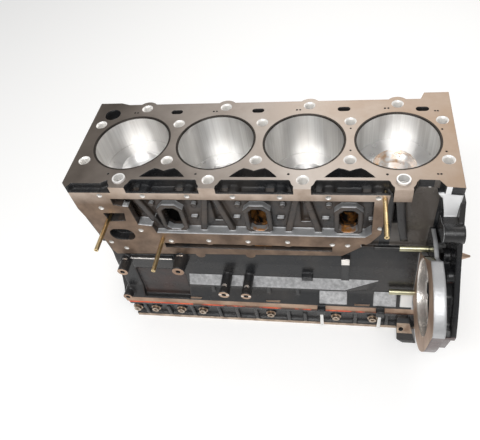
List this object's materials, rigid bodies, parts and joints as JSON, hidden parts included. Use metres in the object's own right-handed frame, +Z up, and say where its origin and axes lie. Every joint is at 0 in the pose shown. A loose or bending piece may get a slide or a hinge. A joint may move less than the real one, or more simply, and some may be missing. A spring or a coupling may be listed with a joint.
{
  "type": "engine short block",
  "caption": "Diesel short block: cylinder block with lined bores, pistons, rods and crankshaft, closed below by a bedplate, with a starter ear at the flywheel end.",
  "frame": {"origin": "on the crank axis, at the rear face of the crank flange", "axes": "+X out of the flywheel end along the crank axis, +Z up the bores, +Y away from the side cover"},
  "size_m": [0.633, 0.3855, 0.353],
  "materials": {
    "cast_paint": "glossy black paint over cast iron, bare machined faces",
    "bed_paint": "black paint, bare machined pads",
    "sealant": "cured sealant",
    "liner_iron": "honed",
    "piston_alloy": "turned",
    "ring_steel": "dark steel",
    "pin_steel": "ground",
    "forged_steel": "forged, shot blasted",
    "crank_steel": "ground journals on a forged shaft",
    "shell_alloy": "bearing overlay",
    "bolt_steel": "black oxide",
    "pad_steel": "weathered",
    "bright_steel": "bright",
    "brass_zinc": "yellow plated",
    "zinc": "zinc plated",
    "dowel_copper": "copper brown",
    "plug_zinc": "zinc plated",
    "seal_rubber": "matt",
    "seal_brown": "matt",
    "retainer_alloy": "cast"
  },
  "bodies": {
    "root": {"cylinder_block": "cast_paint", "bedplate": "bed_paint", "bedplate_sealant": "sealant", "liner_1": "liner_iron", "liner_2": "liner_iron", "liner_3": "liner_iron", "liner_4": "liner_iron", "piston_1": "piston_alloy", "piston_2": "piston_alloy", "piston_3": "piston_alloy", "piston_4": "piston_alloy", "piston_rings_1": "ring_steel", "piston_rings_2": "ring_steel", "piston_rings_3": "ring_steel", "piston_rings_4": "ring_steel", "gudgeon_pin_1": "pin_steel", "gudgeon_pin_2": "pin_steel", "gudgeon_pin_3": "pin_steel", "gudgeon_pin_4": "pin_steel", "piston_circlips": "ring_steel", "con_rod_1": "forged_steel", "con_rod_2": "forged_steel", "con_rod_3": "forged_steel", "con_rod_4": "forged_steel", "rod_cap_1": "forged_steel", "rod_cap_2": "forged_steel", "rod_cap_3": "forged_steel", "rod_cap_4": "forged_steel", "rod_bolts": "bolt_steel", "rod_shells_upper": "shell_alloy", "rod_shells_lower": "shell_alloy", "crankshaft": "crank_steel", "main_shells_upper": "shell_alloy", "main_shells_lower": "shell_alloy", "thrust_washers": "shell_alloy", "main_bolts": "bolt_steel", "bedplate_side_bolts": "pad_steel", "rail_bolts": "bolt_steel", "rail_studs": "bright_steel", "head_dowels": "bright_steel", "cover_studs": "brass_zinc", "starter_studs": "zinc", "starter_wire_stud": "pin_steel", "rear_dowels": "dowel_copper", "core_plugs": "plug_zinc", "gallery_plugs": "plug_zinc", "front_oil_seal": "seal_rubber", "rear_oil_seal": "seal_brown", "seal_retainer": "retainer_alloy", "retainer_bolts": "bolt_steel"}
  },
  "joints": []
}
